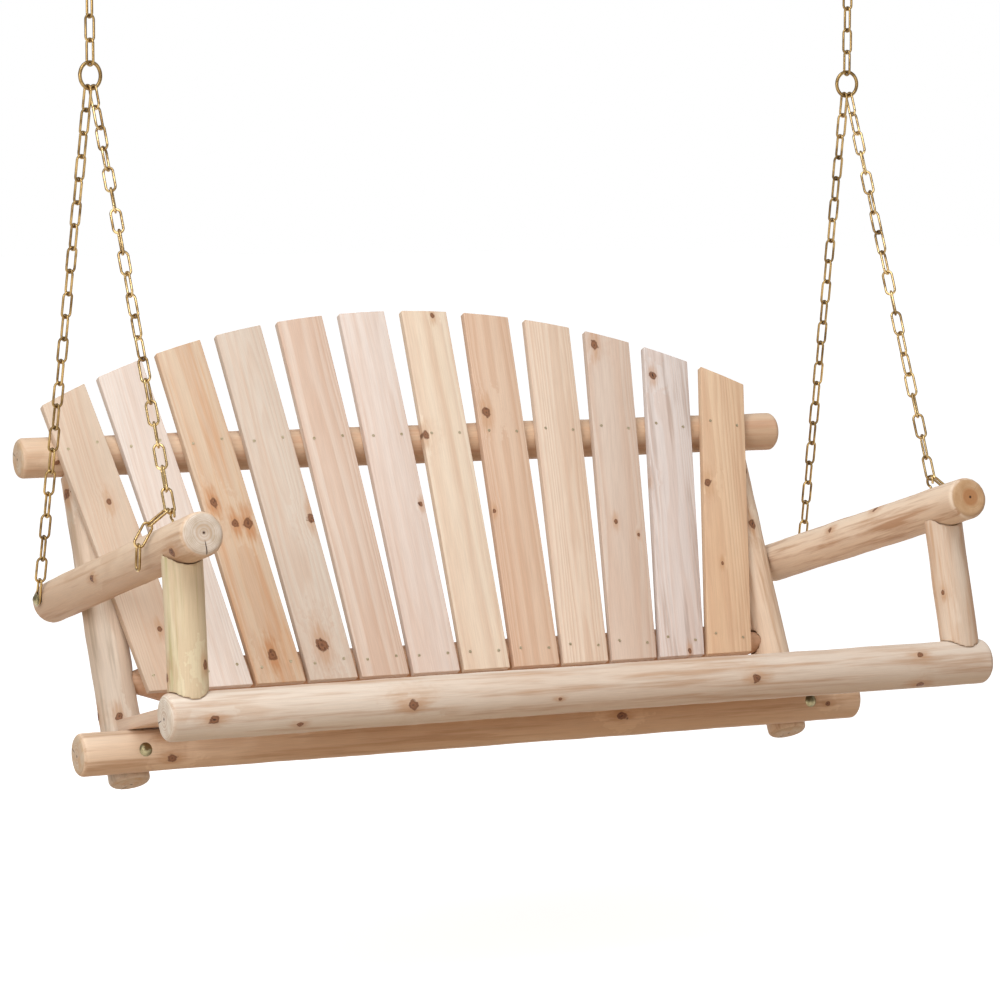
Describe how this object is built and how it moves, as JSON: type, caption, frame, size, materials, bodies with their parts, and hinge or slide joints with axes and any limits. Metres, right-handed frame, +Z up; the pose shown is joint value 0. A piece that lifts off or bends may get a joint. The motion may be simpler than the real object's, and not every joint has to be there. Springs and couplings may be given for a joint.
{
  "type": "porch swing",
  "caption": "Log-framed porch swing: fanned slat back, plank seat and round log arms, hung by chains from rings and screw hooks.",
  "frame": {"origin": "midway between the two ceiling hooks, on the face of the beam they are screwed into", "axes": "+Z up, -Y towards the front of the seat, +X to the right seen from the front"},
  "size_m": [1.3738, 0.783, 1.3828],
  "materials": {
    "peeled_log": "smooth peeled softwood, clear oiled",
    "slat_board": "planed board, satin",
    "seat_board": "planed board, satin",
    "dowel": "plain",
    "nail_steel": "dull",
    "zinc_steel": "zinc plated, dull",
    "brassed_steel": "yellow zinc plated, weathered to bronze"
  },
  "bodies": {
    "hangers": {"left_ceiling_hook": "brassed_steel", "right_ceiling_hook": "brassed_steel"},
    "left_upper": {"left_upper_chain": "brassed_steel"},
    "right_upper": {"right_upper_chain": "brassed_steel"},
    "swing": {"arm_bolt_nuts": "zinc_steel", "arm_bolt_washers": "zinc_steel", "arm_bolts": "zinc_steel", "back_rail": "peeled_log", "back_slat_01": "slat_board", "back_slat_02": "slat_board", "back_slat_03": "slat_board", "back_slat_04": "slat_board", "back_slat_05": "slat_board", "back_slat_06": "slat_board", "back_slat_07": "slat_board", "back_slat_08": "slat_board", "back_slat_09": "slat_board", "back_slat_10": "slat_board", "back_slat_11": "slat_board", "back_slat_12": "slat_board", "frame_dowels": "dowel", "front_log": "peeled_log", "left_arm": "peeled_log", "left_arm_hook": "brassed_steel", "left_arm_post": "peeled_log", "left_front_chain": "brassed_steel", "left_rear_chain": "brassed_steel", "left_ring": "brassed_steel", "left_upright": "peeled_log", "lower_log": "peeled_log", "right_arm": "peeled_log", "right_arm_hook": "brassed_steel", "right_arm_post": "peeled_log", "right_front_chain": "brassed_steel", "right_rear_chain": "brassed_steel", "right_ring": "brassed_steel", "right_upright": "peeled_log", "seat_board_01": "seat_board", "seat_board_02": "seat_board", "seat_board_03": "seat_board", "seat_board_04": "seat_board", "seat_board_05": "seat_board", "seat_board_06": "seat_board", "seat_board_07": "seat_board", "seat_board_08": "seat_board", "seat_board_09": "seat_board", "seat_board_10": "seat_board", "seat_board_11": "seat_board", "seat_board_12": "seat_board", "seat_board_13": "seat_board", "seat_nails": "nail_steel", "slat_nails": "nail_steel", "top_log": "peeled_log", "upright_bolt_nuts": "zinc_steel", "upright_bolts": "zinc_steel"},
    "left_tail": {"left_chain_tail": "brassed_steel"},
    "right_tail": {"right_chain_tail": "brassed_steel"}
  },
  "joints": [
    {"name": "left_hook_swing", "type": "hinge", "parent": "hangers", "child": "left_upper", "pos_m": [-0.645, 0, -0.06182], "axis": [1, 0, 0], "range_deg": [-30, 30]},
    {"name": "right_hook_swing", "type": "hinge", "parent": "hangers", "child": "right_upper", "pos_m": [0.645, 0, -0.06182], "axis": [1, 0, 0], "range_deg": [-30, 30]},
    {"name": "ring_rock", "type": "hinge", "parent": "left_upper", "child": "swing", "pos_m": [-0.645, 0, -0.23007], "axis": [1, 0, 0], "range_deg": [-15, 15]},
    {"name": "left_tail_lift", "type": "hinge", "parent": "swing", "child": "left_tail", "pos_m": [-0.63309, -0.29169, -0.86675], "axis": [0, 1, 0], "range_deg": [0, 60]},
    {"name": "right_tail_lift", "type": "hinge", "parent": "swing", "child": "right_tail", "pos_m": [0.6332, -0.29171, -0.86675], "axis": [0, -1, 0], "range_deg": [0, 60]}
  ],
  "couplings": [
    {"joint": "right_hook_swing", "follows": "left_hook_swing", "ratio": 1}
  ]
}
